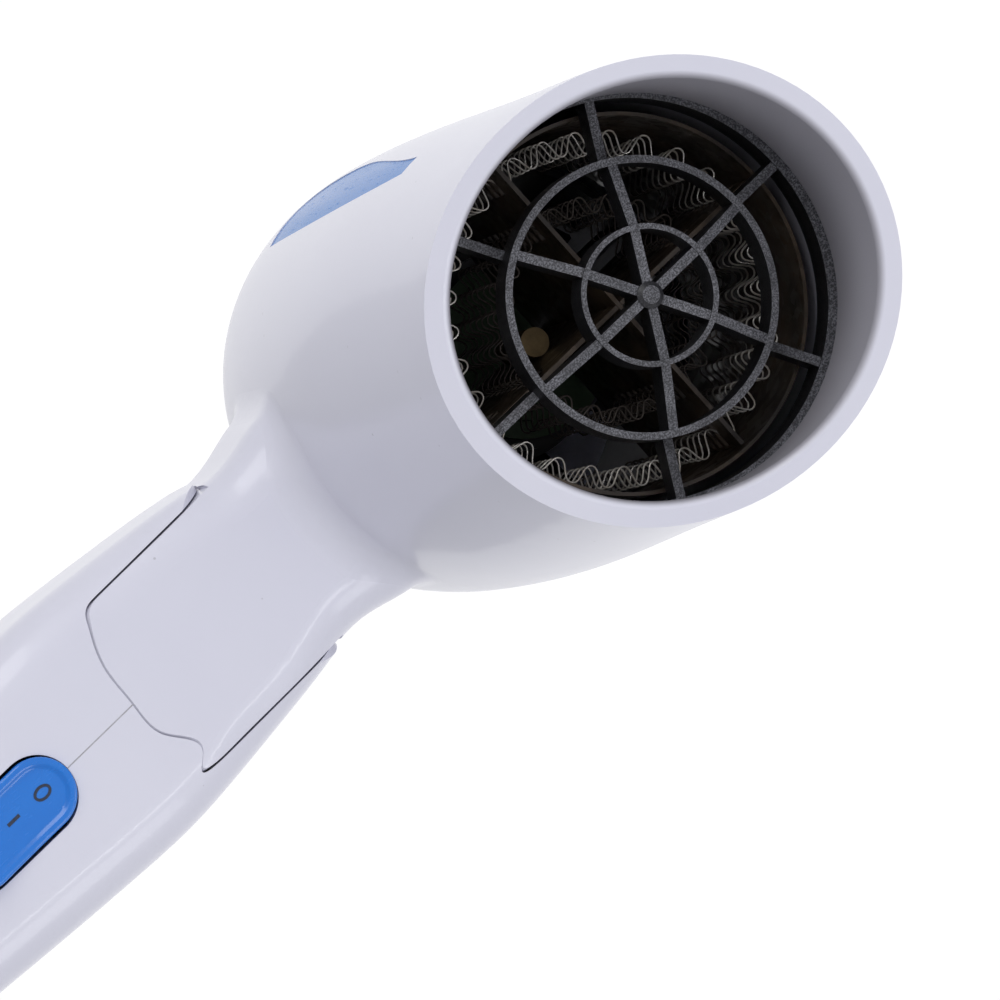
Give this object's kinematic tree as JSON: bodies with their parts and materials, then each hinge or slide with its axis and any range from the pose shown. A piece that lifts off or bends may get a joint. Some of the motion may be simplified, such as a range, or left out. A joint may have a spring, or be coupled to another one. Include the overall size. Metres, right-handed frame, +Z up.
{
  "type": "folding hair dryer",
  "caption": "White hand-held hair dryer with a slanted round outlet and black ring grille, blue accents and rocker switch, and a handle that folds on two ears.",
  "frame": {"origin": "on the barrel axis at the lowest point of the slanted outlet lip", "axes": "+X out of the outlet along the barrel, +Z up away from the handle, +Y to the left side"},
  "size_m": [0.1396, 0.0636, 0.1799],
  "materials": {
    "white_shell": "gloss white, fine moulding grain",
    "black_grille": "matte black, lighter worn rib faces",
    "blue_trim": "gloss blue",
    "switch_blue": "gloss blue with dark marks",
    "mica": "brown mica laminate",
    "nichrome": "bright crimped resistance wire",
    "steel": "plated steel",
    "brass": "brass",
    "fan_plastic": "black nylon",
    "board": "green laminate",
    "wire_sleeve": "insulated wire",
    "black_rubber": "soft black",
    "copper": "copper windings",
    "capacitor": "yellow potting"
  },
  "bodies": {
    "head": {"accent_panel_left": "blue_trim", "accent_panel_right": "blue_trim", "barrel_housing": "white_shell", "fan_shroud": "fan_plastic", "head_leads": "wire_sleeve", "heater_eyelets": "brass", "heater_wire_inner": "nichrome", "heater_wire_outer": "nichrome", "inlet_screen": "black_grille", "mica_board_level": "mica", "mica_board_upright": "mica", "mica_sleeve": "mica", "motor_can": "steel", "motor_end_cap": "fan_plastic", "outlet_grille": "black_grille", "rear_cap": "white_shell", "rectifier_board": "board", "thermal_fuse": "steel", "thermostat": "steel"},
    "fan": {"fan_impeller": "fan_plastic", "motor_shaft": "steel", "motor_armature": "copper"},
    "handle": {"handle_shell_left": "white_shell", "handle_shell_right": "white_shell", "handle_screws": "steel", "switch_body": "black_rubber", "cord_bush": "black_rubber", "suppressor_capacitor": "capacitor", "handle_leads": "wire_sleeve"},
    "switch": {"switch_rocker": "switch_blue"}
  },
  "joints": [
    {"name": "handle_fold", "type": "hinge", "parent": "head", "child": "handle", "pos_m": [-0.077, 0, -0.0575], "axis": [0, -1, 0], "range_deg": [0, 90]},
    {"name": "fan_spin", "type": "hinge", "parent": "head", "child": "fan", "pos_m": [-0.088, 0, -0.003], "axis": [1, 0, 0], "continuous": true},
    {"name": "switch_rock", "type": "hinge", "parent": "handle", "child": "switch", "pos_m": [-0.0652, 0, -0.098], "axis": [0, 1, 0], "range_deg": [0, 9]}
  ]
}
